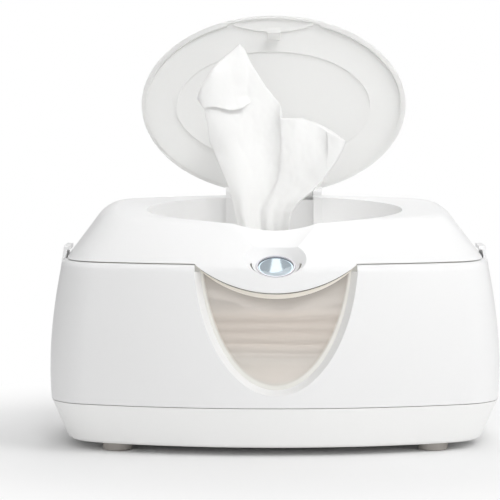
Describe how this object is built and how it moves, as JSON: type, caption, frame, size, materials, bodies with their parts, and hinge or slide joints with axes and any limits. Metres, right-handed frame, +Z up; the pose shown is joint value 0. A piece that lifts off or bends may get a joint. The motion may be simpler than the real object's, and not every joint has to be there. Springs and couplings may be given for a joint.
{
  "type": "baby wipe warmer",
  "caption": "Bow-sided heated tub of folded wipes with a front window, a hinged sloping cover, side latches and a spring-up oval lid with a push button.",
  "frame": {"origin": "on the table top below the middle of the tub", "axes": "+X to the right as seen from the front, +Y to the back, +Z up; the oval lid is open and the cover is closed"},
  "size_m": [0.28, 0.1858, 0.2664],
  "materials": {
    "white_plastic": "smooth satin white",
    "lid_plastic": "cloudy translucent white",
    "clear_window": "clear, faintly warm",
    "inner_plastic": "matte white",
    "soft_ring": "soft translucent silicone",
    "grey_rubber": "matte grey",
    "chrome_ring": "mirror",
    "screw_steel": "bright steel",
    "heater_aluminium": "mill",
    "heater_film": "amber film",
    "dark_plastic": "black",
    "board_green": "circuit board",
    "lead_sheath": "soft sheath",
    "wipe_cloth": "soft non-woven cloth"
  },
  "bodies": {
    "base": {"base_tray": "white_plastic", "rubber_feet": "grey_rubber", "base_screws": "screw_steel", "tub_shell": "white_plastic", "window_pane": "clear_window", "inner_tub": "inner_plastic", "heater_plate": "heater_aluminium", "heater_film": "heater_film", "thermal_cutoff": "dark_plastic", "control_board": "board_green", "dc_jack": "dark_plastic", "supply_leads": "lead_sheath", "wipe_stack": "wipe_cloth", "cover_hinge_pin": "screw_steel", "latch_pins": "screw_steel"},
    "cover": {"top_cover": "white_plastic", "cover_liner": "inner_plastic", "dispensing_ring": "soft_ring", "cover_screws": "screw_steel", "lid_hinge_pin": "screw_steel", "lid_spring": "screw_steel", "button_bezel": "chrome_ring", "button_spring": "screw_steel", "pulled_wipe": "wipe_cloth"},
    "oval_lid": {"lid": "lid_plastic", "lid_seal": "soft_ring"},
    "button": {"release_button": "chrome_ring"},
    "slider": {"latch_slider": "inner_plastic"},
    "latch_left": {"side_latch_left": "white_plastic"},
    "latch_right": {"side_latch_right": "white_plastic"}
  },
  "joints": [
    {"name": "cover_hinge", "type": "hinge", "parent": "base", "child": "cover", "pos_m": [0, 0.089, 0.1149], "axis": [-1, 0, 0], "range_deg": [0, 95]},
    {"name": "lid_hinge", "type": "hinge", "parent": "cover", "child": "oval_lid", "pos_m": [0, 0.059, 0.151], "axis": [1, 0, 0], "range_deg": [0, 104.5], "stiffness_Nm_per_rad": 0.012, "springref_deg": -20.05, "deforming": ["lid_spring", "pulled_wipe"]},
    {"name": "button_slide", "type": "slide", "parent": "cover", "child": "button", "axis": [0, 0.4848, -0.8746], "range_m": [0, 0.0022], "stiffness_N_per_m": 300, "deforming": ["button_spring"]},
    {"name": "latch_slide", "type": "slide", "parent": "cover", "child": "slider", "axis": [0, -0.8746, -0.4848], "range_m": [0, 0.0022]},
    {"name": "side_latch_left_hinge", "type": "hinge", "parent": "base", "child": "latch_left", "pos_m": [-0.1306, 0, 0.1], "axis": [0, -1, 0], "range_deg": [0, 20]},
    {"name": "side_latch_right_hinge", "type": "hinge", "parent": "base", "child": "latch_right", "pos_m": [0.1306, 0, 0.1], "axis": [0, 1, 0], "range_deg": [0, 20]}
  ],
  "couplings": [
    {"joint": "latch_slide", "follows": "button_slide", "ratio": 1}
  ]
}
